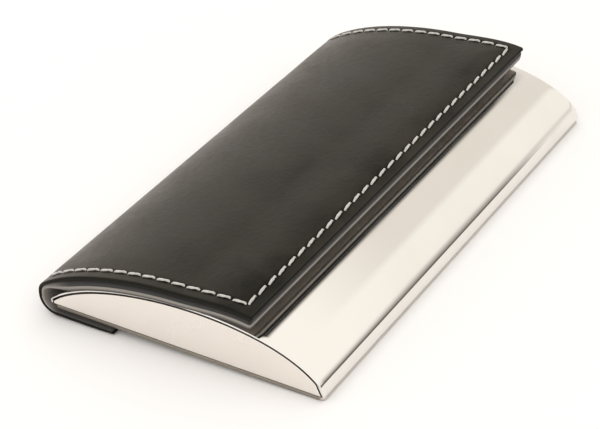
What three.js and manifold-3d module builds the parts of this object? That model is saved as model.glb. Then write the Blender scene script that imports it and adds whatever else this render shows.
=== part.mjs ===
// A slim business card case: a polished steel body with an arched top, and a leather flap
// that wraps round the rear edge, lies over the card window and closes on two magnets.
// Millimetres, +Z up. X runs along the case, the front face looks toward -Y, and the leather
// wraps round the +Y edge. The origin is in the middle of the footprint, on the table.
import * as THREE from 'three';
import { mergeVertices } from 'three/addons/utils/BufferGeometryUtils.js';
import Module from 'manifold-3d';

const wasm = await Module();
wasm.setup();

// ---- Driving dimensions -------------------------------------------------------------------

const BODY_LENGTH = 98;
const BODY_WIDTH = 56;
const SHEET = 0.6;                // steel sheet of the dome and the end plates
const BASE_THICK = 0.7;
const SEAM = 0.15;                // clearance between neighbouring pieces
const GLUE = 0.1;                 // bond line between leather, board and lining
const BASE_REAR_TRIM = 0.6;       // the base plate stops this far short of the rear tip
const HEM_DEPTH = 2;              // solid hem inside the rear tip of the dome

// Top profile, in heights above the underside of the base plate: one smooth arch from the
// crease over the front face to the thin rear tip.
const CREASE_INSET = 0.65;
const CREASE_HEIGHT = 3.45;
const ARCH_FRONT_PULL = [-17.8, 13.85];
const ARCH_REAR_PULL = [17.1, 11.05];
const TIP_HEIGHT = 1.75;
const CREASE_CLEAR = 0.025;       // share of the arch left out of its inner sides at the crease
const TIP_CLEAR = 0.995;          // share of the arch that the inner sides reach at the tip

// Card window in the dome, hidden under the closed flap.
const WINDOW_LENGTH = 89;
const WINDOW_FRONT_Y = -5.5;
const WINDOW_REAR_Y = 24.2;
const WINDOW_CORNER = 3;
const THUMB_NOTCH_RADIUS = 11;
const THUMB_NOTCH_DEPTH = 7;
const WINDOW_CUT_FLOOR = 1;       // above the inside floor
const CUT_TOP = 30;               // above everything

// Leather, from the outside in.
const LEATHER = 0.6;
const LINING_THIN = 0.5;          // lining where it bends and under the base
const LINING_THICK = 1.15;        // padded lining under the flap
const BOARD = 1.1;                // stiffener inside the flap
const RIM = 0.8;                  // lining turned up round the board
const FLAP_REST_GAP = 0.25;
const FLAP_FRONT_Y = -14.5;
const FLAP_FRONT_LIFT = 1.2;      // the stiff flap stands off the steel toward its front edge
const FLAP_LIFT_FROM_Y = 0;
const FLAP_OVERHANG = 0.9;        // past each end of the steel
const BOARD_REAR_Y = 20.5;
const RECESS_OVERRUN = 0.02;      // share of the arch by which the lining recess passes the board
const LINING_STEP_FROM = 0.5;     // along the outside, from the upper bend
const LINING_STEP_TO = 7;
const TAIL_FRONT_Y = 14.3;
const TAIL_OVERHANG = 0.5;
const FOLD_RADIUS = 3.4;          // outside radius of the lower half of the wrap
const FOLD_BEHIND_TIP = 2.3;
const UPPER_FOLD_PULL = 0.42;     // handle of the upper fold curve, as a share of its span

// The wrap bends at two lines, given by how far the outside has turned from the table.
const LOWER_BEND_TURN = 35;
const UPPER_BEND_TURN = 106;
const BEND_CLEARANCE = 0.15;      // half of the slit between two leather pieces at a bend

const STITCH_INSET = 2.3;
const STITCH_FRONT_Y = -12;
const STITCH_REAR_Y = 26.6;
const THREAD_WIDTH = 0.6;
const THREAD_HEIGHT = 0.25;

const MAGNET_LENGTH = 10;
const MAGNET_WIDTH = 3.6;
const MAGNET_THICK = 0.6;
const MAGNET_X = 30;
const MAGNET_Y = -8.4;
const KEEPER_LENGTH = 14;
const KEEPER_WIDTH = 4.2;
const KEEPER_THICK = 0.6;

const TRAY_LINING = 0.5;
const TRAY_FRONT_GAP = 1.4;
const TRAY_REAR_Y = 24;

const ARCH_STEPS = 36;
const SHORT_STEPS = 3;            // for pieces a few millimetres wide
const FOLD_STEPS = 5;
const WINDOW_STEPS = 10;

// ---- Worked out from them -----------------------------------------------------------------

const HALF_LENGTH = BODY_LENGTH / 2;
const HALF_WIDTH = BODY_WIDTH / 2;
const FLAP_X = HALF_LENGTH + FLAP_OVERHANG;
const TAIL_THICK = LEATHER + GLUE + LINING_THIN;
const BASE_Z = TAIL_THICK + SEAM;                       // underside of the base plate
const FLOOR_Z = BASE_Z + BASE_THICK;                    // inside floor of the case
const FLAP_THICK = LEATHER + GLUE + BOARD + GLUE + LINING_THICK + FLAP_REST_GAP;
const FOLD_REAR_Y = HALF_WIDTH + FOLD_BEHIND_TIP;
const FOLD_CENTRE_Y = FOLD_REAR_Y - FOLD_RADIUS;
const LINING_DEPTH = LEATHER + GLUE;                    // in the wrap, below the outside
const BOARD_DEPTH = LEATHER + GLUE;
const FLAP_LINING_DEPTH = BOARD_DEPTH + BOARD + GLUE;

const MATERIALS = {
  mirrorSteel: { color: 0xe9e5df, roughness: 0.12, metalness: 1 },
  brushedSteel: { color: 0xd8d1c7, roughness: 0.35, metalness: 1 },
  leather: { color: 0x35332f, roughness: 0.55, metalness: 0 },
  lining: { color: 0x8b8378, roughness: 0.85, metalness: 0 },
  board: { color: 0x6f5d48, roughness: 0.9, metalness: 0 },
  thread: { color: 0xd9d3c8, roughness: 0.7, metalness: 0 },
  velvet: { color: 0x1b1b1d, roughness: 1, metalness: 0 },
  magnet: { color: 0x8e9196, roughness: 0.3, metalness: 1 },
};

const assembly = new THREE.Group();

function addPart(name, geometry, look) {
  geometry.computeVertexNormals();
  const mesh = new THREE.Mesh(geometry, new THREE.MeshStandardMaterial(MATERIALS[look]));
  mesh.name = name;
  assembly.add(mesh);
}

// ---- Section curves, in the (Y, Z) plane --------------------------------------------------

const point = (y, z) => new THREE.Vector2(y, z);

const arch = new THREE.CubicBezierCurve(
  point(-HALF_WIDTH + CREASE_INSET, BASE_Z + CREASE_HEIGHT),
  point(ARCH_FRONT_PULL[0], BASE_Z + ARCH_FRONT_PULL[1]),
  point(ARCH_REAR_PULL[0], BASE_Z + ARCH_REAR_PULL[1]),
  point(HALF_WIDTH, BASE_Z + TIP_HEIGHT),
);

// Tangent of a Bezier curve at t, exact even at its ends.
function bezierTangent(curve, t) {
  const first = curve.v1.clone().sub(curve.v0).multiplyScalar(3 * (1 - t) * (1 - t));
  const second = curve.v2.clone().sub(curve.v1).multiplyScalar(6 * (1 - t) * t);
  const third = curve.v3.clone().sub(curve.v2).multiplyScalar(3 * t * t);
  return first.add(second).add(third).normalize();
}

// Where the arch stands over a given y; y grows steadily along the arch.
function archParameter(y) {
  let low = 0;
  let high = 1;
  for (let step = 0; step < 40; step += 1) {
    const middle = (low + high) / 2;
    if (arch.getPoint(middle).x < y) low = middle;
    else high = middle;
  }
  return (low + high) / 2;
}

// A point above the arch by a distance along its normal.
function aboveArch(t, height) {
  const tangent = bezierTangent(arch, t);
  return arch.getPoint(t).add(point(-tangent.y, tangent.x).multiplyScalar(height));
}

// How far the flap stands off its even rest gap at a point of the arch.
function flapLift(t) {
  const { smoothstep } = THREE.MathUtils;
  return FLAP_FRONT_LIFT * smoothstep(-arch.getPoint(t).x, -FLAP_LIFT_FROM_Y, -FLAP_FRONT_Y);
}

// A point in the flap, by its depth below the flap's outside.
function inFlap(t, depth) {
  return aboveArch(t, FLAP_THICK + flapLift(t) - depth);
}

function spread(count, make) {
  return Array.from({ length: count + 1 }, (_, index) => make(index / count));
}

function archLine(fromT, toT, height, steps = ARCH_STEPS) {
  return spread(steps, (f) => aboveArch(fromT + (toT - fromT) * f, height));
}

function flapLine(fromT, toT, depth, steps = SHORT_STEPS) {
  return spread(steps, (f) => inFlap(fromT + (toT - fromT) * f, depth));
}

// ---- The outside of the leather, as stations with a point and an inward normal ------------

function station(position, tangent) {
  return { position, inward: point(-tangent.y, tangent.x) };
}

const radians = THREE.MathUtils.degToRad;

const tailRun = spread(2, (f) => station(
  point(TAIL_FRONT_Y + (FOLD_CENTRE_Y - TAIL_FRONT_Y) * f, 0), point(1, 0)));

function lowerFold(fromTurn, toTurn, steps) {
  return spread(steps, (f) => {
    const turn = radians(fromTurn + (toTurn - fromTurn) * f);
    const position = point(
      FOLD_CENTRE_Y + FOLD_RADIUS * Math.sin(turn), FOLD_RADIUS * (1 - Math.cos(turn)));
    return station(position, point(Math.cos(turn), Math.sin(turn)));
  });
}

// The flap leaves the wrap over the last part of the arch.
const FLAP_REAR_T = archParameter(STITCH_REAR_Y);
const FLAP_FRONT_T = archParameter(FLAP_FRONT_Y);
const flapRear = inFlap(FLAP_REAR_T, 0);
const flapRearTangent = bezierTangent(arch, FLAP_REAR_T).negate();
const foldRear = point(FOLD_REAR_Y, FOLD_RADIUS);
const upperFoldSpan = flapRear.distanceTo(foldRear);
const upperFold = new THREE.CubicBezierCurve(
  foldRear,
  foldRear.clone().add(point(0, upperFoldSpan * UPPER_FOLD_PULL)),
  flapRear.clone().sub(flapRearTangent.clone().multiplyScalar(upperFoldSpan * UPPER_FOLD_PULL)),
  flapRear,
);

function upperFoldParameter(turn) {
  let low = 0;
  let high = 1;
  for (let step = 0; step < 40; step += 1) {
    const middle = (low + high) / 2;
    const tangent = bezierTangent(upperFold, middle);
    if (Math.atan2(tangent.y, tangent.x) < radians(turn)) low = middle;
    else high = middle;
  }
  return (low + high) / 2;
}

function upperFoldRun(fromT, toT, steps) {
  return spread(steps, (f) => {
    const t = fromT + (toT - fromT) * f;
    return station(upperFold.getPoint(t), bezierTangent(upperFold, t));
  });
}

function flapRun(fromT, toT, steps = ARCH_STEPS) {
  return spread(steps, (f) => {
    const t = fromT + (toT - fromT) * f;
    return station(inFlap(t, 0), bezierTangent(arch, t).negate());
  });
}

const bendTurnGap = THREE.MathUtils.radToDeg(BEND_CLEARANCE / FOLD_RADIUS);
const upperBendT = upperFoldParameter(UPPER_BEND_TURN);
const upperBendGap = BEND_CLEARANCE / upperFold.getLength();

const tailPath = [...tailRun, ...lowerFold(0, LOWER_BEND_TURN - bendTurnGap, FOLD_STEPS).slice(1)];
const spinePath = [
  ...lowerFold(LOWER_BEND_TURN + bendTurnGap, 90, FOLD_STEPS),
  ...upperFoldRun(0, upperBendT - upperBendGap, FOLD_STEPS).slice(1),
];
const flapRise = upperFoldRun(upperBendT + upperBendGap, 1, FOLD_STEPS);
const flapPath = [...flapRise, ...flapRun(FLAP_REAR_T, FLAP_FRONT_T).slice(1)];

// ---- Solids -------------------------------------------------------------------------------

// Extrudes a closed (Y, Z) outline along X from one position to another.
function extrudeAlongX(outline, fromX, toX) {
  const shape = new THREE.Shape(outline);
  const geometry = new THREE.ExtrudeGeometry(shape, { depth: toX - fromX, bevelEnabled: false });
  geometry.applyMatrix4(new THREE.Matrix4().makeBasis(
    new THREE.Vector3(0, 1, 0), new THREE.Vector3(0, 0, 1), new THREE.Vector3(1, 0, 0)));
  geometry.translate(fromX, 0, 0);
  return geometry;
}

function plainBox(low, high) {
  const size = high.map((value, axis) => value - low[axis]);
  const geometry = new THREE.BoxGeometry(...size);
  geometry.translate(...low.map((value, axis) => value + size[axis] / 2));
  return geometry;
}

// How far along a path each station lies, in millimetres from its start.
function distancesAlong(path) {
  const distances = [0];
  for (let index = 1; index < path.length; index += 1) {
    const step = path[index].position.distanceTo(path[index - 1].position);
    distances.push(distances[index - 1] + step);
  }
  return distances;
}

// The outline of one layer of the leather work: from one depth below the outside to another.
// A depth is a function of the distance along the path.
function layerOutline(path, topDepth, bottomDepth) {
  const distances = distancesAlong(path);
  const side = (depth) => path.map(({ position, inward }, index) => (
    position.clone().add(inward.clone().multiplyScalar(depth(distances[index])))));
  return [...side(topDepth), ...side(bottomDepth).reverse()];
}

const level = (depth) => () => depth;

function flatLayer(path, topDepth, bottomDepth) {
  return layerOutline(path, level(topDepth), level(bottomDepth));
}

function toSolid(geometry) {
  const bare = geometry.clone();
  bare.deleteAttribute('normal');
  bare.deleteAttribute('uv');
  const merged = mergeVertices(bare, 1e-5);
  return new wasm.Manifold(new wasm.Mesh({
    numProp: 3,
    vertProperties: new Float32Array(merged.attributes.position.array),
    triVerts: new Uint32Array(merged.index.array),
  }));
}

function fromSolid(solid) {
  const mesh = solid.getMesh();
  const geometry = new THREE.BufferGeometry();
  geometry.setAttribute('position', new THREE.BufferAttribute(mesh.vertProperties, 3));
  geometry.setIndex(new THREE.BufferAttribute(mesh.triVerts, 1));
  return geometry;
}

// ---- Steel body ---------------------------------------------------------------------------

const wallFootZ = FLOOR_Z + SEAM;
const hemT = archParameter(HALF_WIDTH - HEM_DEPTH);
const betweenEnds = HALF_LENGTH - SHEET - SEAM;

// The dome's section. Its inside reaches back to a point of the arch; behind it the sheet is
// folded into a solid hem.
function domeSection(rearT) {
  const underRear = aboveArch(rearT, -SHEET);
  return [
    point(-HALF_WIDTH, wallFootZ),
    ...archLine(0, 1, 0),
    point(HALF_WIDTH, wallFootZ),
    point(underRear.x, wallFootZ),
    ...archLine(rearT, CREASE_CLEAR, -SHEET),
    point(-HALF_WIDTH + SHEET, wallFootZ),
  ];
}

// The hem stops short of the end plates, which run out to the rear tip.
function makeDome() {
  const sheet = toSolid(extrudeAlongX(domeSection(TIP_CLEAR), -HALF_LENGTH, HALF_LENGTH));
  const hemmed = toSolid(extrudeAlongX(domeSection(hemT), -betweenEnds, betweenEnds));
  return fromSolid(sheet.add(hemmed).subtract(toSolid(makeWindowCutter())));
}

// The window is a rounded rectangle with a thumb notch bitten out of its front edge.
function makeWindowCutter() {
  const halfWindow = WINDOW_LENGTH / 2;
  const c = WINDOW_CORNER;
  const notchCentreY = WINDOW_FRONT_Y - THUMB_NOTCH_DEPTH + THUMB_NOTCH_RADIUS;
  const notchAngle = Math.asin((notchCentreY - WINDOW_FRONT_Y) / THUMB_NOTCH_RADIUS);
  const shape = new THREE.Shape();
  shape.moveTo(-halfWindow + c, WINDOW_FRONT_Y);
  shape.absarc(0, notchCentreY, THUMB_NOTCH_RADIUS, Math.PI + notchAngle, -notchAngle, false);
  shape.absarc(halfWindow - c, WINDOW_FRONT_Y + c, c, -Math.PI / 2, 0, false);
  shape.absarc(halfWindow - c, WINDOW_REAR_Y - c, c, 0, Math.PI / 2, false);
  shape.absarc(-halfWindow + c, WINDOW_REAR_Y - c, c, Math.PI / 2, Math.PI, false);
  shape.absarc(-halfWindow + c, WINDOW_FRONT_Y + c, c, Math.PI, Math.PI * 1.5, false);
  const cutter = new THREE.ExtrudeGeometry(shape, {
    depth: CUT_TOP, bevelEnabled: false, curveSegments: WINDOW_STEPS,
  });
  cutter.translate(0, 0, FLOOR_Z + WINDOW_CUT_FLOOR);
  return cutter;
}

// An end plate fits inside the rim of the dome, flush with its end.
function endPlateOutline() {
  const edge = -SHEET - SEAM;
  const rear = aboveArch(TIP_CLEAR, edge);
  return [
    point(-HALF_WIDTH + SHEET + SEAM, wallFootZ),
    ...archLine(CREASE_CLEAR, TIP_CLEAR, edge),
    point(rear.x, wallFootZ),
  ];
}

addPart('base_plate', plainBox(
  [-HALF_LENGTH, -HALF_WIDTH, BASE_Z], [HALF_LENGTH, HALF_WIDTH - BASE_REAR_TRIM, FLOOR_Z]), 'brushedSteel');
addPart('dome_shell', makeDome(), 'mirrorSteel');
addPart('end_plate_left', extrudeAlongX(
  endPlateOutline(), -HALF_LENGTH, -HALF_LENGTH + SHEET), 'brushedSteel');
addPart('end_plate_right', extrudeAlongX(
  endPlateOutline(), HALF_LENGTH - SHEET, HALF_LENGTH), 'brushedSteel');

const trayX = betweenEnds - SEAM;
addPart('tray_lining', plainBox(
  [-trayX, -HALF_WIDTH + TRAY_FRONT_GAP, FLOOR_Z + SEAM],
  [trayX, TRAY_REAR_Y, FLOOR_Z + SEAM + TRAY_LINING]), 'velvet');

function keeperOutline() {
  const fromT = archParameter(MAGNET_Y - KEEPER_WIDTH / 2);
  const toT = archParameter(MAGNET_Y + KEEPER_WIDTH / 2);
  const top = -SHEET - SEAM;
  return [
    ...archLine(fromT, toT, top, SHORT_STEPS),
    ...archLine(toT, fromT, top - KEEPER_THICK, SHORT_STEPS),
  ];
}

const sides = [['left', -1], ['right', 1]];
for (const [side, sign] of sides) {
  const middle = sign * MAGNET_X;
  addPart(`keeper_plate_${side}`, extrudeAlongX(
    keeperOutline(), middle - KEEPER_LENGTH / 2, middle + KEEPER_LENGTH / 2), 'brushedSteel');
}

// ---- Leather tail under the base, and the wrap round the rear edge ------------------------

const tailX = HALF_LENGTH + TAIL_OVERHANG;
const liningBottom = LINING_DEPTH + LINING_THIN;
addPart('tail_leather', extrudeAlongX(
  flatLayer(tailPath, 0, LEATHER), -tailX, tailX), 'leather');
addPart('tail_lining', extrudeAlongX(
  flatLayer(tailPath, LINING_DEPTH, liningBottom), -tailX, tailX), 'lining');
addPart('spine_leather', extrudeAlongX(
  flatLayer(spinePath, 0, LEATHER), -tailX, tailX), 'leather');
addPart('spine_lining', extrudeAlongX(
  flatLayer(spinePath, LINING_DEPTH, liningBottom), -tailX, tailX), 'lining');

// ---- Flap ---------------------------------------------------------------------------------

const boardRearT = archParameter(BOARD_REAR_Y);
const boardFrontT = archParameter(FLAP_FRONT_Y + RIM + SEAM);
const recessX = FLAP_X - RIM;
const boardX = recessX - SEAM;

// The board has a pocket through it for each magnet.
function makeBoard() {
  const board = toSolid(extrudeAlongX(
    flatLayer(flapRun(boardRearT, boardFrontT), BOARD_DEPTH, BOARD_DEPTH + BOARD),
    -boardX, boardX));
  const pockets = sides.map(([, sign]) => toSolid(plainBox(
    [sign * MAGNET_X - MAGNET_LENGTH / 2 - SEAM, MAGNET_Y - MAGNET_WIDTH / 2 - SEAM, BASE_Z],
    [sign * MAGNET_X + MAGNET_LENGTH / 2 + SEAM, MAGNET_Y + MAGNET_WIDTH / 2 + SEAM, CUT_TOP])));
  return fromSolid(pockets.reduce((solid, pocket) => solid.subtract(pocket), board));
}

function magnetOutline() {
  const fromT = archParameter(MAGNET_Y - MAGNET_WIDTH / 2 + SEAM);
  const toT = archParameter(MAGNET_Y + MAGNET_WIDTH / 2 - SEAM);
  const top = BOARD_DEPTH + (BOARD - MAGNET_THICK) / 2;
  return [...flapLine(fromT, toT, top + MAGNET_THICK), ...flapLine(toT, fromT, top)];
}

// The lining leaves the wrap thin, steps down past the rear edge of the board, is padded under
// the rest of the flap and turns up round the board on its three free edges.
function makeFlapLining() {
  const grow = (thin, thick) => (distance) => (
    thin + (thick - thin) * THREE.MathUtils.smoothstep(distance, LINING_STEP_FROM, LINING_STEP_TO));
  const sheet = extrudeAlongX(layerOutline(
    flapPath,
    grow(LINING_DEPTH, FLAP_LINING_DEPTH),
    grow(liningBottom, FLAP_LINING_DEPTH + LINING_THICK)), -FLAP_X, FLAP_X);
  const rimBottom = FLAP_LINING_DEPTH + LINING_THICK / 2;
  const rim = extrudeAlongX(
    flatLayer(flapRun(boardRearT, FLAP_FRONT_T), LINING_DEPTH, rimBottom), -FLAP_X, FLAP_X);
  const recessFrontT = archParameter(FLAP_FRONT_Y + RIM);
  const recess = extrudeAlongX(
    flatLayer(flapRun(boardRearT + RECESS_OVERRUN, recessFrontT), 0, FLAP_LINING_DEPTH),
    -recessX, recessX);
  return fromSolid(toSolid(sheet).add(toSolid(rim).subtract(toSolid(recess))));
}

addPart('flap_leather', extrudeAlongX(
  flatLayer(flapPath, 0, LEATHER), -FLAP_X, FLAP_X), 'leather');
addPart('flap_board', makeBoard(), 'board');
addPart('flap_lining', makeFlapLining(), 'lining');
for (const [side, sign] of sides) {
  const middle = sign * MAGNET_X;
  addPart(`magnet_${side}`, extrudeAlongX(
    magnetOutline(), middle - MAGNET_LENGTH / 2, middle + MAGNET_LENGTH / 2), 'magnet');
}

// ---- Seam thread on the three free edges of the flap --------------------------------------

const stitchFrontT = archParameter(STITCH_FRONT_Y);
const stitchX = FLAP_X - STITCH_INSET;

function threadOutline(fromT, toT, steps) {
  const under = flapLine(fromT, toT, -SEAM, steps);
  return [...under, ...flapLine(toT, fromT, -SEAM - THREAD_HEIGHT, steps)];
}

const threadHalf = THREAD_WIDTH / 2;
addPart('seam_thread_front', extrudeAlongX(
  threadOutline(
    archParameter(STITCH_FRONT_Y - threadHalf), archParameter(STITCH_FRONT_Y + threadHalf), 1),
  -stitchX - threadHalf, stitchX + threadHalf), 'thread');
for (const [side, sign] of sides) {
  const middle = sign * stitchX;
  addPart(`seam_thread_${side}`, extrudeAlongX(
    threadOutline(archParameter(STITCH_FRONT_Y + THREAD_WIDTH), FLAP_REAR_T, ARCH_STEPS),
    middle - threadHalf, middle + threadHalf), 'thread');
}

// The footprint is centred on the origin, so the whole assembly moves forward by half of what
// the wrap adds behind the steel.
assembly.position.y = -FOLD_BEHIND_TIP / 2;

export default assembly;
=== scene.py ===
"""Looks for a business card case: polished steel body, stitched leather flap, leather wrap."""
import math

import bpy
import numpy as np
from mathutils import Matrix, Vector


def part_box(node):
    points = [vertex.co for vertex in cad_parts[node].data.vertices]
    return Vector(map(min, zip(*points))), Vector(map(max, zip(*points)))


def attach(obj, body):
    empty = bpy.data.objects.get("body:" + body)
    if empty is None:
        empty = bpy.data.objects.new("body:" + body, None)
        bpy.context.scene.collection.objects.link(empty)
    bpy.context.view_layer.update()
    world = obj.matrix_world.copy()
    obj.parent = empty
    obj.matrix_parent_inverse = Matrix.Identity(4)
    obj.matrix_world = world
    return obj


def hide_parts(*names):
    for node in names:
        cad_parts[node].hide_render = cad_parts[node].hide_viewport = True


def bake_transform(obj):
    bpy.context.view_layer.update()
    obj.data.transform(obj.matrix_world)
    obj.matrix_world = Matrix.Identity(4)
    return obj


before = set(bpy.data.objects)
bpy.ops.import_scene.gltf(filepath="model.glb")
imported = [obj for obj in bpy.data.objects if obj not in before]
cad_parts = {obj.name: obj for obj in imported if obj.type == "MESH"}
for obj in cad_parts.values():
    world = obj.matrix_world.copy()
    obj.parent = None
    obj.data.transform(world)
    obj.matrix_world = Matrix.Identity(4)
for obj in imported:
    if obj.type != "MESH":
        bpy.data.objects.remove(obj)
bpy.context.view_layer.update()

MM = 0.001

# ---- Sizes, in millimetres -------------------------------------------------------------------------


def cad_box(node):
    """A CAD node's lowest and highest corner, in millimetres."""
    low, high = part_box(node)
    return np.array(low) / MM, np.array(high) / MM


DOME_LOW, DOME_HIGH = cad_box("dome_shell")
BASE_LOW, BASE_HIGH = cad_box("base_plate")
TAIL_LOW, TAIL_HIGH = cad_box("tail_leather")
FLAP_X = cad_box("flap_leather")[1][0]
SPINE_REAR_Y = cad_box("spine_leather")[1][1]
TRAY_LOW, TRAY_HIGH = cad_box("tray_lining")
SEAM_LOW, SEAM_HIGH = cad_box("seam_thread_front")

STEEL_X = DOME_HIGH[0]
STEEL_FRONT_Y, STEEL_TIP_Y = DOME_LOW[1], DOME_HIGH[1]
STEEL_MIDDLE_Y = (STEEL_FRONT_Y + STEEL_TIP_Y) / 2
BASE_Z = BASE_LOW[2]
FLOOR_Z = BASE_HIGH[2]

# The arch over the steel, in places counted from the middle of the base's underside.
CREASE = (-27.55, 2.85)
ARCH_FRONT_PULL = (-17.8, 13.85)
ARCH_REAR_PULL = (17.1, 11.05)
ARCH_TIP = (28.0, 1.75)
ARCH_INSIDE = (0.02, 0.995)             # shares of the arch between which its inner side runs
CREASE_ROUND, TIP_ROUND = 0.95, 0.5
SHEET = 0.34
DOME_RIM = 0.12
END_PLATE_SEAM = 0.36
BASE_CORNER, BASE_BEVEL = 0.9, 0.14
END_PLATE_BEVEL = 0.1
TRAY_CORNER, TRAY_BEVEL = 1.5, 0.16

WINDOW_X = 44.5
WINDOW_FRONT_Y, WINDOW_REAR_Y = -5.5, 24.2
WINDOW_CORNER = 3.0
NOTCH_RADIUS, NOTCH_DEPTH = 11.0, 7.0
WINDOW_CUT_TOP = 30.0                   # above everything

# The flap and the wrap, in places counted as for the arch.
FLAP_THICK = 3.3                        # from the steel to the outside of the leather
FLAP_FRONT, FLAP_REAR = -14.7, 26.6
FLAP_FRONT_LIFT, FLAP_LIFT_FROM = 1.2, 0.0
FOLD_RADIUS = 3.4
UPPER_FOLD_PULL = 0.42
TAIL_X = TAIL_HIGH[0]

# Stretches along the leather, counted from the flap's rear or, for the tail, from the lower fold.
BOARD_STEP = (-2.0, 7.0)                # from the thin wrap to the full thickness of the flap
WIDER_FROM = 2.0
SEAM_FROM = 0.3
FULL_FROM = (-3.0, 2.0)                 # where the flap's relief sets in
# The tail's darker lining under the base is painted shade.
UNDERSIDE_TO = (-1.0, 3.0)              # where the tail's darker lining ends

# Leather and lining, in depths below the outside.
LEATHER, LEATHER_EDGE = 0.6, 0.85       # in the wrap, and on the flap
LINING_GAP = 0.06
LINING_THIN_BOTTOM, LINING_THICK_BOTTOM = 1.2, 3.05
LINING_INSET = 0.05
SKIVE_DEPTH, SKIVE_LENGTH = 0.3, 4.0

STITCH_X = FLAP_X - 2.3
STITCH_FRONT = (SEAM_LOW[1] + SEAM_HIGH[1]) / 2
STITCH_PITCH, STITCH_LENGTH = 3.05, 2.75
STITCH_SLANT = math.radians(7)
STITCH_RISE, STITCH_DIVE = 0.13, 0.42
THREAD_RADIUS = 0.22
SEAM_PULL, SEAM_REACH = 0.11, 0.55      # how deep and how wide the seam draws the leather in
FLAP_FULLNESS = 0.10

# How finely the shapes are drawn.
FOLD_POINTS, FLAP_POINTS = 60, 600
SLAB_CORNER_STEPS = 5
ARCH_POINTS, CREASE_POINTS, TIP_POINTS = 110, 12, 7
CREASE_SPAN, TIP_SPAN = 4, 6            # points of the arch that its two rounded ends replace
DOME_RIM_STEPS, DOME_STEP = 4, 1.2
NOTCH_STEPS, CORNER_STEPS = 25, 9
END_PLATE_POINTS, PLATE_CORNER_STEPS = 90, 8
STITCH_RINGS, STITCH_SIDES = 13, 10
STEEL_SHARP_ANGLE = 24

# ---- Section curves in the (Y, Z) plane ------------------------------------------------------------


def smoothstep(value, start, end):
    """0 up to start, 1 from end on, with a soft rise between."""
    t = np.clip((np.asarray(value, float) - start) / (end - start), 0, 1)
    return t * t * (3 - 2 * t)


def bezier(points, t):
    """Points and unit tangents of a cubic Bezier curve at the values t."""
    t = np.asarray(t, float)[:, None]
    a, b, c, d = (np.array(p, float) for p in points)
    u = 1 - t
    place = u**3 * a + 3 * u * u * t * b + 3 * u * t * t * c + t**3 * d
    slope = u * u * (b - a) + 2 * u * t * (c - b) + t * t * (d - c)
    return place, slope / np.linalg.norm(slope, axis=1, keepdims=True)


def arch(t, height=0.0):
    """Places above the steel arch, from the crease (0) to the rear tip (1), and their normals."""
    place, tangent = bezier((CREASE, ARCH_FRONT_PULL, ARCH_REAR_PULL, ARCH_TIP), t)
    normal = np.stack([-tangent[:, 1], tangent[:, 0]], 1)
    return place + normal * height + (STEEL_MIDDLE_Y, BASE_Z), normal


def arch_value(y):
    """Where the arch stands over y, counted from the steel's middle."""
    t = np.linspace(0, 1, 2001)
    return float(np.interp(y + STEEL_MIDDLE_Y, arch(t)[0][:, 0], t))


def over_flap(t):
    """The outside of the flap, which stands off the steel a little toward its front edge."""
    place, normal = arch(t)
    lift = FLAP_FRONT_LIFT * smoothstep(STEEL_MIDDLE_Y - place[:, 0], -FLAP_LIFT_FROM, -FLAP_FRONT)
    return place + normal * (FLAP_THICK + lift)[:, None], normal


class Path:
    """A curve in the section plane with an inward normal, looked up by distance along it."""

    def __init__(self, places, inward):
        steps = np.linalg.norm(np.diff(places, axis=0), axis=1)
        keep = np.concatenate([[True], steps > 1e-6])
        self.places, self.inward = places[keep], inward[keep]
        steps = np.linalg.norm(np.diff(self.places, axis=0), axis=1)
        self.distance = np.concatenate([[0.0], np.cumsum(steps)])
        self.length = self.distance[-1]

    def at(self, s):
        place = np.stack([np.interp(s, self.distance, self.places[:, k]) for k in (0, 1)], -1)
        inward = np.stack([np.interp(s, self.distance, self.inward[:, k]) for k in (0, 1)], -1)
        return place, inward / np.linalg.norm(inward, axis=-1, keepdims=True)

    def nearest(self, y, z):
        return float(self.distance[np.argmin(np.hypot(*(self.places - (y, z)).T))])


def leather_path():
    """The outside of the leather: tail, round the rear edge, over the arch to the flap's front."""
    fold_rear = np.array([SPINE_REAR_Y, FOLD_RADIUS])
    centre_y = SPINE_REAR_Y - FOLD_RADIUS
    tail_y = np.linspace(TAIL_LOW[1], centre_y, FOLD_POINTS)
    tail = np.stack([tail_y, np.zeros(FOLD_POINTS)], 1)
    turn = np.linspace(0, math.pi / 2, FOLD_POINTS)
    lower = np.stack([centre_y + FOLD_RADIUS * np.sin(turn), FOLD_RADIUS * (1 - np.cos(turn))], 1)
    flap_t = np.linspace(arch_value(FLAP_REAR), arch_value(FLAP_FRONT), FLAP_POINTS)
    flap, flap_normal = over_flap(flap_t)
    forward = np.array([-flap_normal[0, 1], flap_normal[0, 0]])
    pull = np.linalg.norm(flap[0] - fold_rear) * UPPER_FOLD_PULL
    upper, upper_tangent = bezier(
        (fold_rear, fold_rear + (0, pull), flap[0] - forward * pull, flap[0]),
        np.linspace(0, 1, FOLD_POINTS))
    inward = np.concatenate([
        np.tile((0.0, 1.0), (FOLD_POINTS, 1)),
        np.stack([-np.sin(turn), np.cos(turn)], 1),
        np.stack([-upper_tangent[:, 1], upper_tangent[:, 0]], 1),
        -flap_normal,
    ])
    return Path(np.concatenate([tail, lower, upper, flap]), inward)


# Distances along the leather's outside from the tail's end.
WRAP = leather_path()
S_FRONT = WRAP.length
S_MIDDLE = WRAP.nearest(SPINE_REAR_Y, FOLD_RADIUS)
S_LOWER_FOLD = WRAP.nearest(SPINE_REAR_Y - FOLD_RADIUS, 0.0)
S_FLAP_REAR = WRAP.nearest(*over_flap([arch_value(FLAP_REAR)])[0][0])
S_STITCH = WRAP.nearest(*over_flap([arch_value(STITCH_FRONT - STEEL_MIDDLE_Y)])[0][0])
S_STITCH_REAR = S_FLAP_REAR + SEAM_FROM


def strip_width(s):
    """Half of the strip's width: the flap stands a little further past the steel than the tail."""
    return TAIL_X + (FLAP_X - TAIL_X) * smoothstep(s, S_MIDDLE, S_FLAP_REAR + WIDER_FROM)


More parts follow.
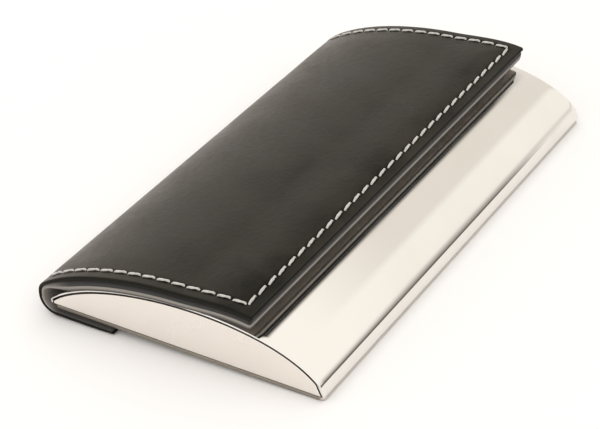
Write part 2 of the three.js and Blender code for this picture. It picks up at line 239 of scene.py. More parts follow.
def board_share(s):
    """0 where the leather and lining wrap thinly, 1 where they cover the board."""
    return smoothstep(s, S_FLAP_REAR + BOARD_STEP[0], S_FLAP_REAR + BOARD_STEP[1])


def underside_share(s):
    """1 on the tail under the base, 0 beyond the lower fold."""
    return 1 - smoothstep(s, S_LOWER_FOLD + UNDERSIDE_TO[0], S_LOWER_FOLD + UNDERSIDE_TO[1])


# ---- Mesh helpers ----------------------------------------------------------------------------------


def make_object(name, vertices, faces, sharp_angle=40, uv=None, values=None):
    """A smooth-shaded object from places in millimetres; edges sharper than the angle stay crisp."""
    mesh = bpy.data.meshes.new(name)
    mesh.from_pydata((np.asarray(vertices) * MM).tolist(), [], faces)
    mesh.validate()
    mesh.polygons.foreach_set("use_smooth", [True] * len(mesh.polygons))
    if uv is not None:
        layer = mesh.uv_layers.new(name="UVMap")
        loops = np.empty(len(mesh.loops), int)
        mesh.loops.foreach_get("vertex_index", loops)
        layer.data.foreach_set("uv", np.asarray(uv, np.float32)[loops].ravel())
    for key, data in (values or {}).items():
        attribute = mesh.attributes.new(key, "FLOAT", "POINT")
        attribute.data.foreach_set("value", np.asarray(data, np.float32))
    mesh.set_sharp_from_angle(angle=math.radians(sharp_angle))
    mesh.update()
    made = bpy.data.objects.new(name, mesh)
    bpy.context.scene.collection.objects.link(made)
    return made


def apply_modifiers(obj):
    """Turns what the modifiers make into the object's own mesh."""
    graph = bpy.context.evaluated_depsgraph_get()
    mesh = bpy.data.meshes.new_from_object(obj.evaluated_get(graph))
    obj.modifiers.clear()
    obj.data = mesh


def spaced(start, end, fine, coarse, margin_start, margin_end):
    """Places from start to end: fine steps within each margin, coarse ones between."""
    parts = []
    inner_start, inner_end = start + margin_start, end - margin_end
    if margin_start:
        parts.append(np.arange(start, inner_start - fine / 2, fine))
    count = max(2, int(round((inner_end - inner_start) / coarse)) + 1)
    parts.append(np.linspace(inner_start, inner_end, count))
    if margin_end:
        parts.append(np.arange(inner_end + fine, end + fine / 2, fine)[:-1])
        parts.append([end])
    return np.concatenate(parts)


def rounding(radius, steps):
    """Distances from a rounded end, each with how far the outline is drawn in there."""
    return [(radius * (1 - math.sin(a)), radius * (1 - math.cos(a)))
            for a in np.linspace(math.pi / 2, 0, steps)]


def ring_quads(rings, count):
    """Quads that join each closed ring of count points to the next ring."""
    quads = []
    for a in range(0, (rings - 1) * count, count):
        b = a + count
        quads += [(b + k, b + (k + 1) % count, a + (k + 1) % count, a + k) for k in range(count)]
    return quads


def slab_stations(s_values, round_start, round_end):
    """Distances along the leather path, each with its inset, from one rounded end to the other."""
    start, end = s_values[0], s_values[-1]
    first = rounding(round_start, SLAB_CORNER_STEPS) if round_start else [(0.0, 0.0)]
    last = rounding(round_end, SLAB_CORNER_STEPS) if round_end else [(0.0, 0.0)]
    low, high = start + round_start + 1e-6, end - round_end - 1e-6
    return ([(start + s, inset) for s, inset in first]
            + [(s, 0.0) for s in s_values if low < s < high]
            + [(end - s, inset) for s, inset in last[::-1]])


def slab_ring(x_shares, width, high, low, inset, round_side):
    """One ring of a slab as widths and depths: the top from left to right, then the underside back."""
    side = min(round_side, (low - high) / 2 * 0.98)
    inset = min(inset, (low - high) / 2 - 0.02)
    turn = np.linspace(0, math.pi / 2, SLAB_CORNER_STEPS + 1)[1:-1]
    flat = x_shares * (width - side)
    arc_x = width - side + side * np.sin(turn)
    arc_top = high + inset + side * (1 - np.cos(turn))
    arc_low = low - inset - side * (1 - np.cos(turn))
    wall = [high + inset + side, low - inset - side]
    x = np.concatenate([
        -arc_x[::-1], flat, arc_x, [width, width], arc_x[::-1], flat[::-1], -arc_x,
        [-width, -width]])
    depth = np.concatenate([
        arc_top[::-1], np.full(len(flat), high + inset), arc_top, wall, arc_low[::-1],
        np.full(len(flat), low - inset), arc_low, wall[::-1]])
    return x, depth


def slab_cap(top_count):
    """Quads across one ring, whose underside runs the other way from its top."""
    back = 2 * top_count + 1
    return [(k, k + 1, back - k - 1, back - k) for k in range(top_count - 1)] + [
        (top_count - 1, top_count, top_count + 1, top_count + 2), (back, back + 1, back + 2, 0)]


def slab(name, s_values, x_shares, half_width, top, bottom, rounds, relief=None):
    """A curved slab along the leather path with rounded edges, as one closed mesh.

    At each distance s it spans half_width(s) to each side, from depth top(s) down to bottom(s).
    x_shares run from -1 to 1. The radii in rounds are those of its first end, its last end and its
    sides. relief(s, x) raises the top surface. For its material, each point carries its share of
    the thickness (edge), board_share and underside_share.
    """
    round_start, round_end, round_side = rounds
    stations = slab_stations(s_values, round_start, round_end)
    top_count = len(x_shares) + 2 * (SLAB_CORNER_STEPS - 1)
    rows, row_uv, row_edge = [], [], []
    for s, inset in stations:
        high, low = float(top(s)), float(bottom(s))
        x, depth = slab_ring(x_shares, float(half_width(s)) - inset, high, low, inset, round_side)
        if relief is not None:
            depth[:top_count] -= relief(np.full(top_count, s), x[:top_count])
        place, inward = WRAP.at(s)
        rows.append(np.column_stack([x, place + inward * depth[:, None]]))
        row_uv.append(np.column_stack([x, np.full(len(x), s) + (depth - high)]) / 100)
        row_edge.append(np.clip((depth - high) / max(low - high, 1e-6), 0, 1))
    count = len(rows[0])
    last = (len(rows) - 1) * count
    cap = slab_cap(top_count)
    faces = ring_quads(len(rows), count) + cap
    faces += [tuple(last + index for index in quad[::-1]) for quad in cap]
    along = np.repeat([s for s, _ in stations], count)
    values = {"edge": np.concatenate(row_edge), "boarded": board_share(along),
              "under": underside_share(along)}
    return make_object(name, np.concatenate(rows), faces, 50, np.concatenate(row_uv), values)


# ---- Materials -------------------------------------------------------------------------------------


class Nodes:
    """Short calls for building a node tree."""

    def __init__(self, tree):
        self.tree = tree

    def add(self, kind, inputs=None, **settings):
        node = self.tree.nodes.new(kind)
        for key, value in settings.items():
            setattr(node, key, value)
        for key, value in (inputs or {}).items():
            if isinstance(value, bpy.types.NodeSocket):
                self.tree.links.new(value, node.inputs[key])
            else:
                node.inputs[key].default_value = value
        return node

    def ramp(self, value, low, high, to_low=0.0, to_high=1.0):
        return self.add("ShaderNodeMapRange", {
            "Value": value, "From Min": low, "From Max": high, "To Min": to_low,
            "To Max": to_high}).outputs["Result"]

    def soft_step(self, value, start, end):
        return self.add("ShaderNodeMapRange", {"Value": value, "From Min": start, "From Max": end},
                        interpolation_type="SMOOTHSTEP").outputs["Result"]

    def colours(self, value, stops):
        """A colour for each value, from (place, colour) stops in rising order."""
        node = self.add("ShaderNodeValToRGB", {"Fac": value})
        elements = node.color_ramp.elements
        while len(elements) < len(stops):
            elements.new(1.0)
        for element, (place, tone) in zip(elements, stops):
            element.position = place
            element.color = (*tone, 1.0)
        return node.outputs["Color"]

    def maths(self, operation, *values):
        return self.add("ShaderNodeMath", dict(enumerate(values)), operation=operation).outputs[0]

    def mix(self, share, a, b):
        node = self.add("ShaderNodeMix", data_type="RGBA")
        for socket, value in (("Factor_Float", share), ("A_Color", a), ("B_Color", b)):
            target = next(i for i in node.inputs if i.identifier == socket)
            if isinstance(value, bpy.types.NodeSocket):
                self.tree.links.new(value, target)
            else:
                target.default_value = (*value, 1.0) if isinstance(value, tuple) else value
        return next(o for o in node.outputs if o.identifier == "Result_Color")


class MaterialNodes(Nodes):
    """A material whose tree ends in one Principled shader."""

    def __init__(self, name):
        self.material = bpy.data.materials.new(name)
        self.material.use_nodes = True
        super().__init__(self.material.node_tree)
        self.shader = self.tree.nodes["Principled BSDF"]

    def set(self, **constants):
        for key, value in constants.items():
            self.shader.inputs[key.replace("_", " ")].default_value = value

    def link(self, output, socket):
        self.tree.links.new(output, self.shader.inputs[socket])

    def surface_place(self):
        """Places laid out flat over a sheet: across it and along it, in units of 100 mm."""
        return self.add("ShaderNodeUVMap", uv_map="UVMap").outputs["UV"]

    def object_place(self):
        return self.add("ShaderNodeTexCoord").outputs["Object"]

    def stretch(self, vector, scale):
        return self.add("ShaderNodeMapping", {"Vector": vector, "Scale": scale}).outputs["Vector"]

    def noise(self, vector, scale, detail=3.0, roughness=0.5, distortion=0.0):
        return self.add("ShaderNodeTexNoise", {
            "Vector": vector, "Scale": scale, "Detail": detail, "Roughness": roughness,
            "Distortion": distortion}).outputs["Fac"]

    def cells(self, vector, scale, feature="F1"):
        return self.add("ShaderNodeTexVoronoi", {"Vector": vector, "Scale": scale},
                        feature=feature).outputs["Distance"]

    def value(self, attribute):
        """A mesh attribute's value at each place."""
        return self.add("ShaderNodeAttribute", attribute_name=attribute).outputs["Fac"]

    def bump(self, height, strength, distance_mm, normal=None):
        inputs = {"Height": height, "Strength": strength, "Distance": distance_mm * MM}
        if normal is not None:
            inputs["Normal"] = normal
        return self.add("ShaderNodeBump", inputs).outputs["Normal"]


def leather_material():
    """Charcoal leather: fine pebble grain, soft mottling, a darker burnished edge."""
    n = MaterialNodes("charcoal_leather")
    place = n.surface_place()
    mottle = n.ramp(n.noise(place, 9, 4, 0.6, 0.4), 0.32, 0.68)
    patches = n.ramp(n.noise(place, 2.2, 2), 0.35, 0.65)
    tone = n.mix(mottle, (0.005, 0.0048, 0.0036), (0.021, 0.0195, 0.0150))
    tone = n.mix(n.maths("MULTIPLY", patches, 0.35), tone, (0.030, 0.026, 0.020))
    edge = n.value("edge")
    tone = n.mix(n.ramp(edge, 0.0, 0.3), tone, (0.012, 0.011, 0.009))
    n.link(tone, "Base Color")
    pebble = n.cells(n.stretch(place, (1, 1.15, 1)), 130, "SMOOTH_F1")
    creases = n.noise(place, 60, 5, 0.65, 0.8)
    pores = n.cells(place, 310)
    normal = n.bump(pebble, 0.35, 0.05)
    normal = n.bump(creases, 0.45, 0.06, normal)
    normal = n.bump(pores, 0.12, 0.02, normal)
    n.link(normal, "Normal")
    creased = n.ramp(creases, 0.3, 0.7, 0.25, 0.35)
    n.link(n.maths("ADD", creased, n.maths("MULTIPLY", mottle, 0.12)), "Roughness")
    n.link(n.ramp(edge, 0.0, 0.08, 0.26, 0.06), "Specular IOR Level")
    n.link(n.ramp(edge, 0.0, 0.08, 0.09, 0.0), "Sheen Weight")
    n.set(Specular_Tint=(1.0, 0.93, 0.84, 1), Sheen_Roughness=0.4, Sheen_Tint=(1.0, 0.74, 0.48, 1))
    return n.material


def lining_material():
    """Grey-tan lining, fibrous at its edge; round the board it is stained above and darkened below as
    painted shade.
    """
    n = MaterialNodes("tan_lining")
    place = n.surface_place()
    fibres = n.noise(n.stretch(place, (1, 14, 1)), 90, 4, 0.7)
    cloud = n.ramp(n.noise(place, 12, 3), 0.3, 0.7)
    tone = n.mix(cloud, (0.185, 0.168, 0.148), (0.25, 0.23, 0.205))
    tone = n.mix(n.ramp(fibres, 0.35, 0.75), tone, (0.30, 0.275, 0.245))
    depth = n.value("edge")
    stained = n.maths("MULTIPLY", n.ramp(depth, 0.47, 0.43), n.value("boarded"))
    tone = n.mix(stained, tone, (0.012, 0.011, 0.009))
    # Painted shade: round the board, the lower part of the lining's edge faces down toward the steel
    # and is darkened; the flat underside stays light.
    shaded_below = n.maths("MULTIPLY", n.ramp(depth, 0.64, 0.78), n.ramp(depth, 0.995, 0.97))
    tone = n.mix(n.maths("MULTIPLY", shaded_below, n.value("boarded")), tone, (0.040, 0.035, 0.029))
    # Painted shade: the tail's lining is darkened where it lies under the base.
    tone = n.mix(n.value("under"), tone, (0.020, 0.018, 0.015))
    n.link(tone, "Base Color")
    n.link(n.bump(fibres, 0.5, 0.06), "Normal")
    n.set(Roughness=0.85, Specular_IOR_Level=0.25, Sheen_Weight=0.2, Sheen_Roughness=0.6)
    return n.material


def thread_material():
    """Waxed off-white thread with the lay of its plies."""
    n = MaterialNodes("waxed_thread")
    place = n.object_place()
    fuzz = n.noise(place, 4200, 2)
    n.link(n.mix(n.ramp(fuzz, 0.3, 0.7), (0.47, 0.455, 0.42), (0.66, 0.635, 0.59)), "Base Color")
    n.link(n.bump(fuzz, 0.3, 0.03), "Normal")
    n.set(Roughness=0.6, Specular_IOR_Level=0.35, Sheen_Weight=0.15)
    return n.material


def steel_material(name, tone, smudged_tone, roughness, brushed=0.0, front_tone=None):
    """Stainless steel: faint handling smudges, hairline scratches and, if brushed, a fine lay.

    With a front_tone, the colour turns to front_tone along the front of the case; on the base plate
    this lightens its painted shade there.
    """
    n = MaterialNodes(name)
    place = n.object_place()
    smudge = n.ramp(n.noise(place, 38, 4, 0.6, 0.6), 0.42, 0.72)
    colour = n.mix(n.maths("MULTIPLY", smudge, 0.5), tone, smudged_tone)
    if front_tone:
        y = n.add("ShaderNodeSeparateXYZ", {"Vector": place}).outputs["Y"]
        front = n.ramp(y, (STEEL_FRONT_Y + 1.0) * MM, (STEEL_FRONT_Y + 0.4) * MM)
        colour = n.mix(front, colour, front_tone)
    n.link(colour, "Base Color")
    hairline = n.noise(n.stretch(place, (0.04, 1, 1)), 5200, 2, 0.5)
    n.link(n.ramp(smudge, 0, 1, roughness, roughness * 1.7 + 0.015), "Roughness")
    n.link(n.bump(hairline, 0.03 + brushed, 0.01), "Normal")
    n.set(Metallic=1.0)
    return n.material


def velvet_material():
    """Black flocking: short fibres that catch the light at a low angle."""
    n = MaterialNodes("black_flock")
    place = n.object_place()
    nap = n.noise(place, 2600, 3, 0.7)
    rubbed = n.ramp(n.noise(place, 45, 3), 0.35, 0.7)
    n.link(n.mix(rubbed, (0.010, 0.010, 0.012), (0.020, 0.020, 0.024)), "Base Color")
    n.link(n.bump(nap, 0.6, 0.12), "Normal")
    n.set(Roughness=1.0, Specular_IOR_Level=0.1, Sheen_Weight=0.7, Sheen_Roughness=0.35,
          Sheen_Tint=(0.5, 0.5, 0.55, 1))
    return n.material


def board_material():
    """Grey-brown pressed fibre board with flecks."""
    n = MaterialNodes("fibre_board")
    place = n.object_place()
    fleck = n.cells(place, 900)
    n.link(n.mix(n.ramp(fleck, 0.1, 0.6), (0.20, 0.15, 0.10), (0.36, 0.28, 0.2)), "Base Color")
    n.link(n.bump(n.noise(place, 1500, 4, 0.7), 0.4, 0.08), "Normal")
    n.set(Roughness=0.9)
    return n.material


def floor_material():
    """Plain pale card."""
    n = MaterialNodes("pale_floor")
    place = n.object_place()
    n.link(n.mix(n.noise(place, 6, 2), (0.925, 0.915, 0.905), (0.94, 0.93, 0.92)), "Base Color")
    n.set(Roughness=0.8, Specular_IOR_Level=0.2)
    return n.material


# ---- Leather work ----------------------------------------------------------------------------------


def seam_distance(s, x):
    """How far a place on the flap lies from the seam, which runs round three of its sides."""
    beside = np.abs(np.abs(x) - STITCH_X) + np.maximum(0, s - S_STITCH) * 4
    front = np.abs(s - S_STITCH) + np.maximum(0, np.abs(x) - STITCH_X) * 4
    return np.minimum(beside, front)


def flap_relief(s, x):
    """The flap's top: pulled in along the seam, softly full inside it, slightly uneven."""
    on_flap = smoothstep(s, S_FLAP_REAR + FULL_FROM[0], S_FLAP_REAR + FULL_FROM[1])
    seam = seam_distance(s, x)
    inside = smoothstep(np.minimum(STITCH_X - np.abs(x), S_STITCH - s), 0, 5)
    groove = -SEAM_PULL * np.exp(-(seam / SEAM_REACH) ** 2)
    wave = 0.035 * np.sin(x * 0.21 + 1.3) * np.sin(s * 0.27 + 0.4)
    wave += 0.02 * np.sin(x * 0.53 + s * 0.31)
    return on_flap * (groove + FLAP_FULLNESS * inside + wave * inside)


def x_spread(fine, coarse):
    """Shares of the strip's half width from -1 to 1, finer within 5 mm of its sides."""
    return spaced(-1, 1, fine / FLAP_X, coarse / FLAP_X, 5.0 / FLAP_X, 5.0 / FLAP_X)


def leather_bottom(s):
    return LEATHER + (LEATHER_EDGE - LEATHER) * board_share(s)


def make_leather():
    x_shares = x_spread(0.25, 0.9)
    tail = slab("leather_tail", spaced(0, S_MIDDLE, 0.25, 0.35, 1.0, 0), x_shares[::3], strip_width,
                top=lambda s: SKIVE_DEPTH * (1 - smoothstep(s, 0, SKIVE_LENGTH)),
                bottom=lambda s: LEATHER, rounds=(0.14, 0, 0.3))
    flap = slab("leather_flap", spaced(S_MIDDLE, S_FRONT, 0.22, 0.6, 0, 5.0), x_shares, strip_width,
                top=lambda s: 0.0, bottom=leather_bottom, rounds=(0, 0.4, 0.4), relief=flap_relief)
    return tail, flap


def lining_top(s):
    return LEATHER + LINING_GAP + (LEATHER_EDGE - LEATHER) * board_share(s)


def lining_bottom(s):
    return LINING_THIN_BOTTOM + (LINING_THICK_BOTTOM - LINING_THIN_BOTTOM) * board_share(s)


def lining_width(s):
    return strip_width(s) - LINING_INSET


def make_lining():
    x_shares = x_spread(1.0, 1.6)
    tail = slab("lining_tail", spaced(0.3, S_MIDDLE, 0.3, 0.4, 0.9, 0), x_shares, lining_width,
                lining_top, lining_bottom, rounds=(0.1, 0, 0.12))
    flap = slab("lining_flap", spaced(S_MIDDLE, S_FRONT - 0.1, 0.3, 0.6, 0, 1.5), x_shares,
                lining_width, lining_top, lining_bottom, rounds=(0, 0.5, 0.5))
    return tail, flap


# ---- Stitching -------------------------------------------------------------------------------------


def surface_frame(s, x):
    """Place, outward normal and the two directions along the flap's surface at (s, x)."""
    place, inward = WRAP.at(s)
    ahead, _ = WRAP.at(s + 0.05)
    along = np.array([0, *(ahead - place)])
    return (np.array([x, *place]), np.array([0, *(-inward)]),
            along / np.linalg.norm(along), np.array([1.0, 0, 0]))


def one_stitch(s, x, heading):
    """One stitch as a short two-ply strand that rises out of its hole and dives into the next."""
    place, normal, along, across = surface_frame(s, x)
    turn = heading + STITCH_SLANT
    forward = along * math.cos(turn) + across * math.sin(turn)
    beside = np.cross(normal, forward)
    vertices = []
    for share in np.linspace(-1, 1, STITCH_RINGS):
        lift = STITCH_RISE - STITCH_DIVE * abs(share) ** 6
        thin = math.sqrt(max(0.0, 1 - abs(share) ** 10)) * 0.8 + 0.2
        for k in range(STITCH_SIDES):
            angle = 2 * math.pi * k / STITCH_SIDES
            radius = THREAD_RADIUS * thin * (1 + 0.16 * math.cos(2 * angle + share * 5.5))
            centre = place + forward * (share * STITCH_LENGTH / 2) + normal * lift
            vertices.append(centre + beside * (radius * 1.12 * math.cos(angle))
                            + normal * (radius * 0.85 * math.sin(angle)))
    faces = [quad[::-1] for quad in ring_quads(STITCH_RINGS, STITCH_SIDES)]
    faces.append(tuple(range(STITCH_SIDES))[::-1])
    faces.append(tuple(range((STITCH_RINGS - 1) * STITCH_SIDES, STITCH_RINGS * STITCH_SIDES)))
    return vertices, faces


def seam(name, start, end):
    """A run of stitches from one (s, x) to another."""
    start, end = np.array(start, float), np.array(end, float)
    span = end - start
    length = np.linalg.norm(span)
    count = int(round(length / STITCH_PITCH))
    heading = math.atan2(span[1], span[0])
    vertices, faces = [], []
    for k in range(count):
        s, x = start + span * (k + 0.5) / count
        more, shapes = one_stitch(s, x, heading)
        faces += [tuple(index + len(vertices) for index in face) for face in shapes]
        vertices += more
    return make_object(name, np.array(vertices), faces, 60)


def make_seams():
    """The three runs of the seam, each with the CAD node that it stands for."""
    rear_left, rear_right = (S_STITCH_REAR, -STITCH_X), (S_STITCH_REAR, STITCH_X)
    front_left, front_right = (S_STITCH, -STITCH_X), (S_STITCH, STITCH_X)
    return [
        (seam("stitches_left", rear_left, front_left), "seam_thread_left"),
        (seam("stitches_front", front_left, front_right), "seam_thread_front"),
        (seam("stitches_right", front_right, rear_right), "seam_thread_right"),
    ]


# ---- Steel body ------------------------------------------------------------------------------------


def fillet(before, corner, after, radius, steps):
    """Points of an arc that rounds a corner of an outline."""
    before, corner, after = (np.array(p, float) for p in (before, corner, after))
    u, v = before - corner, after - corner
    u, v = u / np.linalg.norm(u), v / np.linalg.norm(v)
    half = math.acos(np.clip(u @ v, -1, 1)) / 2
    reach = radius / math.tan(half)
    centre = corner + (u + v) / np.linalg.norm(u + v) * radius / math.sin(half)
    a, b = corner + u * reach - centre, corner + v * reach - centre
    sweep = math.acos(np.clip(a @ b / radius**2, -1, 1))
    return [centre + (a * math.sin((1 - f) * sweep) + b * math.sin(f * sweep)) / math.sin(sweep)
            for f in np.linspace(0, 1, steps)]


def dome_sides(inset):
    """The dome sheet's section, drawn in by inset all round: matching outer and inner sides."""
    foot = DOME_LOW[2] + inset
    outer, normal = arch(np.linspace(0, 1, ARCH_POINTS))
    outer = outer - normal * inset
    front_foot = np.array([STEEL_FRONT_Y + inset, foot])
    tip_foot = np.array([STEEL_TIP_Y - inset, foot])
    crease = fillet(front_foot, outer[0], outer[CREASE_SPAN], CREASE_ROUND, CREASE_POINTS)
    tip = fillet(outer[-TIP_SPAN], outer[-1], tip_foot, TIP_ROUND, TIP_POINTS)
    between = outer[CREASE_SPAN + 1:-TIP_SPAN]
    outside = np.array([front_foot, *crease, *between, *tip, tip_foot])
    inner, inner_normal = arch(np.linspace(*ARCH_INSIDE, len(outside) - 2))
    inner = inner - inner_normal * (SHEET - inset)
    inner_foot = np.array([STEEL_FRONT_Y + SHEET - inset, foot])
    return outside, np.array([inner_foot, *inner, [inner[-1][0], foot]])


def make_dome_sheet():
    """Lofts the dome's section along X, with both ends rounded."""
    turns = [(STEEL_X - back, inset) for back, inset in rounding(DOME_RIM, DOME_RIM_STEPS)]
    inner = STEEL_X - DOME_RIM
    straight = np.linspace(-inner, inner, int(2 * inner / DOME_STEP) + 1)[1:-1]
    stations = ([(-x, inset) for x, inset in turns] + [(x, 0.0) for x in straight]
                + [(x, inset) for x, inset in turns[::-1]])
    rings = []
    for x, inset in stations:
        outside, inside = dome_sides(inset)
        ring = np.concatenate([outside, inside[::-1]])
        rings.append(np.column_stack([np.full(len(ring), x), ring]))
    count = len(rings[0])
    last = (len(rings) - 1) * count
    cap = [(k, k + 1, count - 2 - k, count - 1 - k) for k in range(count // 2 - 1)]
    faces = ring_quads(len(rings), count) + cap
    faces += [tuple(last + index for index in quad[::-1]) for quad in cap]
    return make_object("steel_dome", np.concatenate(rings), faces, STEEL_SHARP_ANGLE)


def window_outline():
    """The card window with its thumb notch, as (x, y) points."""
    c = WINDOW_CORNER
    front, rear = WINDOW_FRONT_Y + STEEL_MIDDLE_Y, WINDOW_REAR_Y + STEEL_MIDDLE_Y
    notch_y = front - NOTCH_DEPTH + NOTCH_RADIUS
    lean = math.asin((notch_y - front) / NOTCH_RADIUS)

    def arc(cx, cy, radius, start, end, steps):
        return [(cx + radius * math.cos(a), cy + radius * math.sin(a))
                for a in np.linspace(start, end, steps)]

    quarter = math.pi / 2
    return (arc(0, notch_y, NOTCH_RADIUS, math.pi + lean, 2 * math.pi - lean, NOTCH_STEPS)
            + arc(WINDOW_X - c, front + c, c, -quarter, 0, CORNER_STEPS)
            + arc(WINDOW_X - c, rear - c, c, 0, quarter, CORNER_STEPS)
            + arc(-WINDOW_X + c, rear - c, c, quarter, 2 * quarter, CORNER_STEPS)
            + arc(-WINDOW_X + c, front + c, c, 2 * quarter, 3 * quarter, CORNER_STEPS))


def prism(name, outline, span, axis=2):
    """A flat plate: an outline in the plane across one axis, between two heights on that axis."""
    count = len(outline)
    vertices = [np.insert(np.array(p, float), axis, height) for height in span for p in outline]
    faces = [(k, (k + 1) % count, count + (k + 1) % count, count + k) for k in range(count)]
    faces += [tuple(range(count))[::-1], tuple(range(count, 2 * count))]
    return make_object(name, np.array(vertices), faces, 30)


def make_dome():
    """The dome sheet with the card window cut through its arch."""
    dome = make_dome_sheet()
    cutter = prism("window_cutter", window_outline(), (FLOOR_Z + 1, WINDOW_CUT_TOP))
    cut = dome.modifiers.new("window", "BOOLEAN")
    cut.operation, cut.solver, cut.object = "DIFFERENCE", "EXACT", cutter
    apply_modifiers(dome)
    bpy.data.objects.remove(cutter)
    dome.data.set_sharp_from_angle(angle=math.radians(STEEL_SHARP_ANGLE))
    return dome


def bevelled(obj, width):
    """The object with its sharp edges rounded."""
    bevel = obj.modifiers.new("bevel", "BEVEL")
    bevel.width, bevel.segments, bevel.limit_method = width * MM, 3, "ANGLE"
    bevel.angle_limit = math.radians(40)
    bevel.harden_normals = True
    apply_modifiers(obj)
    return obj


def rounded_plate(name, low, high, radius):
    """A flat plate that fills a box, seen from above as a rectangle with rounded corners."""
    right, rear = high[0] - radius, high[1] - radius
    left, front = low[0] + radius, low[1] + radius
    outline = []
    for quarter, (x, y) in enumerate(((left, front), (right, front), (right, rear), (left, rear))):
        start = math.pi * (1 + quarter / 2)
        outline += [(x + radius * math.cos(a), y + radius * math.sin(a))
                    for a in np.linspace(start, start + math.pi / 2, PLATE_CORNER_STEPS)]
    return prism(name, outline, (low[2], high[2]))


def make_base():
    return bevelled(rounded_plate("steel_base", BASE_LOW, BASE_HIGH, BASE_CORNER), BASE_BEVEL)


def make_tray():
    return bevelled(rounded_plate("card_tray", TRAY_LOW, TRAY_HIGH, TRAY_CORNER), TRAY_BEVEL)


def make_end_plate(side):
    """A D-shaped plate inside the dome's rim, parted from it by a narrow seam."""
    low, high = cad_box("end_plate_" + side)
    gap = SHEET + END_PLATE_SEAM
    curve, _ = arch(np.linspace(*ARCH_INSIDE, END_PLATE_POINTS), -gap)
    foot = DOME_LOW[2]
    outline = [(STEEL_FRONT_Y + gap, foot), *map(tuple, curve), (curve[-1][0], foot)]
    return bevelled(prism("steel_end_" + side, outline, (low[0], high[0]), 0), END_PLATE_BEVEL)


# ---- Putting it together ---------------------------------------------------------------------------


def dress(obj, material):
    obj.data.materials.clear()
    obj.data.materials.append(material)


def finish_piece(piece, material, slot_name, *nodes):
    """Gives a piece its material and hides the CAD nodes that it stands for."""
    dress(piece, material)
    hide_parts(*nodes)


def build_leather():
    leather, lining, thread = leather_material(), lining_material(), thread_material()
    leather_tail, leather_flap = make_leather()
    lining_tail, lining_flap = make_lining()
    finish_piece(leather_tail, leather, "leather", "tail_leather", "spine_leather")
    finish_piece(leather_flap, leather, "leather", "flap_leather")
    finish_piece(lining_tail, lining, "lining", "tail_lining", "spine_lining")
    finish_piece(lining_flap, lining, "lining", "flap_lining")
    # Each piece's placement is baked into its mesh.
    for tail, flap in ((leather_tail, leather_flap), (lining_tail, lining_flap)):
        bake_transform(tail)
        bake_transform(flap)
    for seam_piece, node in make_seams():
        finish_piece(seam_piece, thread, "thread", node)
        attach(seam_piece, "flap")


def build_steel():
    mirror = steel_material("mirror_steel", (0.85, 0.825, 0.79), (0.80, 0.77, 0.73), 0.045)
    satin = steel_material("satin_steel", (0.88, 0.83, 0.77), (0.84, 0.79, 0.73), 0.22, 0.05)
    # The base plate's dark tone is painted shade for the shadow and dark reflection where the case
    # meets the floor, and it is painted lighter along the front.
    shaded_base = steel_material("painted_shade_steel", (0.30, 0.27, 0.23), (0.25, 0.225, 0.19), 0.3, 0.05,
                          (0.62, 0.58, 0.54))
    pieces = [
        (make_dome(), mirror, "steel_mirror", "dome_shell"),
        (make_base(), shaded_base, "steel_satin", "base_plate"),
        (make_end_plate("left"), satin, "steel_satin", "end_plate_left"),
        (make_end_plate("right"), satin, "steel_satin", "end_plate_right"),
        (make_tray(), velvet_material(), "velvet", "tray_lining"),
    ]
    for piece, material, slot_name, node in pieces:
        finish_piece(piece, material, slot_name, node)
        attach(piece, "case")


def dress_hidden_nodes():
    """Materials for the CAD nodes that are carried over as they are."""
    nickel = steel_material("nickel_plate", (0.62, 0.6, 0.57), (0.5, 0.48, 0.45), 0.2)
    keeper = steel_material("keeper_steel", (0.45, 0.45, 0.45), (0.35, 0.34, 0.33), 0.35, 0.1)
    looks = {"magnet_left": nickel, "magnet_right": nickel, "flap_board": board_material(),
             "keeper_plate_left": keeper, "keeper_plate_right": keeper}
    for node, material in looks.items():
        dress(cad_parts[node], material)


# ---- Floor, lights and camera ----------------------------------------------------------------------

FLOOR_SIZE = 6000.0


def make_floor():
    """A large pale sheet that touches the case where it rests: its tail and its front edge."""
    drop = BASE_Z / (TAIL_LOW[1] - STEEL_FRONT_Y)
    corners = [(x * FLOOR_SIZE, y * FLOOR_SIZE, -(y * FLOOR_SIZE - TAIL_LOW[1]) * drop)
               for x, y in ((-1, -1), (1, -1), (1, 1), (-1, 1))]
    floor = make_object("floor", np.array(corners), [(0, 1, 2, 3)])
    floor.data.materials.append(floor_material())


# The right half of the studio, by angle in half turns: 0 is the horizon behind the case, 0.5 is
# overhead and 1 is the horizon in front.
BRIGHT_FROM = (0.452, 0.464)
BRIGHT_TO = (0.783, 0.813)
STUDIO = [
    (0.00, (0.90, 0.87, 0.83)), (0.24, (0.80, 0.77, 0.73)), (0.34, (0.05, 0.05, 0.045)),
    (0.449, (0.03, 0.03, 0.028)), (0.461, (0.90, 0.85, 0.78)), (0.565, (0.90, 0.85, 0.78)),
    (0.60, (1.08, 1.05, 0.98)), (BRIGHT_TO[0], (1.06, 1.025, 0.965)),
    (BRIGHT_TO[1], (0.17, 0.155, 0.14)), (1.00, (0.17, 0.155, 0.14)),
]
STUDIO_LEFT = (1.14, 1.115, 1.09)
STUDIO_NEAR = (1.12, 1.09, 1.03)
STUDIO_FAR = (0.90, 0.86, 0.81)
STUDIO_FAR_FRONT = (1.06, 1.03, 0.98)


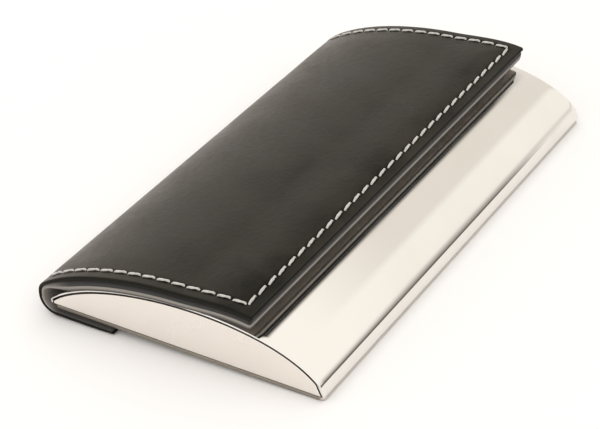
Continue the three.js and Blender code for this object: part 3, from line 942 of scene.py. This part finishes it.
def make_world():
    """A bright studio. Its right half is dark just behind overhead and dim low in front.

    Both turn bright toward the case's far end, and the bright part between gains toward its near end.
    """
    world = bpy.data.worlds.new("studio")
    bpy.context.scene.world = world
    world.use_nodes = True
    n = Nodes(world.node_tree)
    place = n.add("ShaderNodeTexCoord").outputs["Generated"]
    x, y, z = n.add("ShaderNodeSeparateXYZ", {"Vector": place}).outputs
    angle = n.maths("DIVIDE", n.maths("ARCTAN2", z, y), math.pi)
    right = n.colours(angle, STUDIO)

    starts, ends = n.soft_step(angle, *BRIGHT_FROM), n.soft_step(angle, *BRIGHT_TO[::-1])
    near = n.maths("MULTIPLY", n.soft_step(x, 0.715, 0.655), n.maths("MULTIPLY", starts, ends))
    right = n.mix(near, right, STUDIO_NEAR)
    overhead = n.maths("MULTIPLY", n.soft_step(angle, 0.27, 0.33), n.soft_step(angle, 0.50, 0.46))
    right = n.mix(n.maths("MULTIPLY", n.soft_step(x, 0.7755, 0.7775), overhead), right, STUDIO_FAR)
    in_front = n.maths("MULTIPLY", n.soft_step(x, 0.750, 0.778), n.soft_step(angle, *BRIGHT_TO))
    right = n.mix(in_front, right, STUDIO_FAR_FRONT)

    tone = n.mix(n.soft_step(x, 0.15, 0.4), STUDIO_LEFT, right)
    n.tree.links.new(tone, n.tree.nodes["Background"].inputs["Color"])


def make_lights():
    make_world()
    sun = bpy.data.lights.new("key", "SUN")
    sun.energy, sun.angle, sun.color = 0.6, math.radians(60), (1, 0.985, 0.965)
    lamp = bpy.data.objects.new("key", sun)
    lamp.rotation_euler = Vector((-0.42, -0.45, -0.78)).to_track_quat("-Z", "Y").to_euler()
    lamp.visible_glossy = False
    bpy.context.scene.collection.objects.link(lamp)


CAMERA_AZIMUTH, CAMERA_ELEVATION, CAMERA_ROLL = -56.39, 33.96, -3.6
CAMERA_TARGET = (-4.92, 2.58, 1.79)
CAMERA_DISTANCE = 344.95
CAMERA_LENS = 111.02


def make_camera():
    """The photograph's viewpoint; its target and distance are in millimetres."""
    azimuth, elevation = math.radians(CAMERA_AZIMUTH), math.radians(CAMERA_ELEVATION)
    level = math.cos(elevation)
    back = Vector((math.sin(azimuth) * level, -math.cos(azimuth) * level, math.sin(elevation)))
    camera = bpy.data.objects.new("camera", bpy.data.cameras.new("camera"))
    camera.data.lens = CAMERA_LENS
    camera.data.clip_start, camera.data.clip_end = 0.01, 20
    roll = Matrix.Rotation(math.radians(CAMERA_ROLL), 3, "Z")
    camera.rotation_euler = ((-back).to_track_quat("-Z", "Y").to_matrix() @ roll).to_euler()
    camera.location = (Vector(CAMERA_TARGET) + back * CAMERA_DISTANCE) * MM
    bpy.context.scene.collection.objects.link(camera)
    bpy.context.scene.camera = camera


bpy.context.scene.view_settings.view_transform = "Standard"
make_camera()
make_floor()
make_lights()
build_steel()
build_leather()
dress_hidden_nodes()
